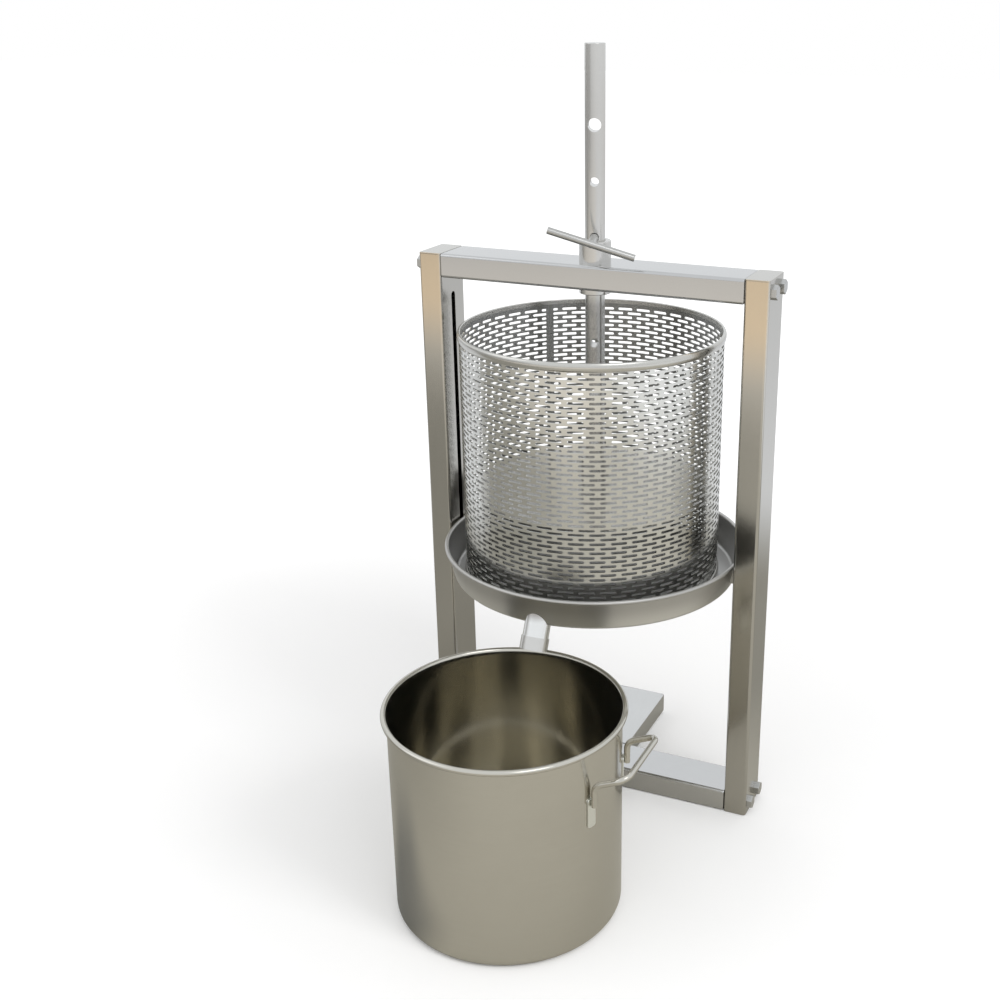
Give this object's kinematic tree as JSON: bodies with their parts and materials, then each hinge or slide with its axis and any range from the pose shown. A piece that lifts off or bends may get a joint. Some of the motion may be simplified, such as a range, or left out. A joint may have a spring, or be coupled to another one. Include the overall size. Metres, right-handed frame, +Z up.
{
  "type": "manual grape press",
  "caption": "Stainless grape press: bolted tube frame, sliding ram with locking pin and press plate, perforated basket in a juice tray with a spout, and a pot under it.",
  "frame": {"origin": "on the floor under the ram, at the middle of the bottom beam's underside", "axes": "+X to the right between the posts, +Y to the back, +Z up along the ram"},
  "size_m": [0.3856, 0.5175, 0.795],
  "materials": {
    "frame_tube": "satin stainless tube",
    "machined_steel": "turned stainless steel",
    "bolt_steel": "plain stainless fasteners",
    "tray_sheet": "smooth stainless sheet",
    "basket_sheet": "bright perforated stainless sheet",
    "pot_steel": "satin stainless pot"
  },
  "bodies": {
    "frame": {"left_post": "frame_tube", "right_post": "frame_tube", "post_top_caps": "frame_tube", "post_foot_caps": "frame_tube", "top_beam": "frame_tube", "bottom_beam": "frame_tube", "beam_end_plates": "machined_steel", "frame_bolts": "bolt_steel", "guide_collar": "machined_steel", "foot_rear": "frame_tube", "foot_front": "frame_tube", "foot_end_caps": "frame_tube"},
    "tray": {"tray_dish": "tray_sheet", "tray_lugs": "tray_sheet", "spout": "tray_sheet", "spout_ring": "tray_sheet"},
    "basket": {"basket_wall": "basket_sheet", "basket_rim": "basket_sheet", "basket_foot_ring": "basket_sheet"},
    "ram": {"press_shaft": "machined_steel", "press_plate": "machined_steel", "plate_socket": "machined_steel", "plate_bolt": "bolt_steel", "plate_nut": "bolt_steel"},
    "locking_pin": {"pin_shank": "machined_steel", "pin_handle_bar": "machined_steel"},
    "pot": {"pot_body": "pot_steel", "pot_handle": "pot_steel", "handle_tabs": "pot_steel"}
  },
  "joints": [
    {"name": "ram_slide", "type": "slide", "parent": "frame", "child": "ram", "axis": [0, 0, 1], "range_m": [0, 0.169]},
    {"name": "pin_pull", "type": "slide", "parent": "ram", "child": "locking_pin", "axis": [0.309, -0.9511, 0], "range_m": [0, 0.045]},
    {"name": "tray_lift", "type": "slide", "parent": "frame", "child": "tray", "axis": [0, 0, 1], "range_m": [0, 0.04]},
    {"name": "basket_turn", "type": "hinge", "parent": "tray", "child": "basket", "pos_m": [-0.0025, -0.003, 0.256], "axis": [0, 0, 1], "continuous": true},
    {"name": "pot_pull", "type": "slide", "parent": "frame", "child": "pot", "axis": [0, -1, 0], "range_m": [0, 0.2]}
  ]
}
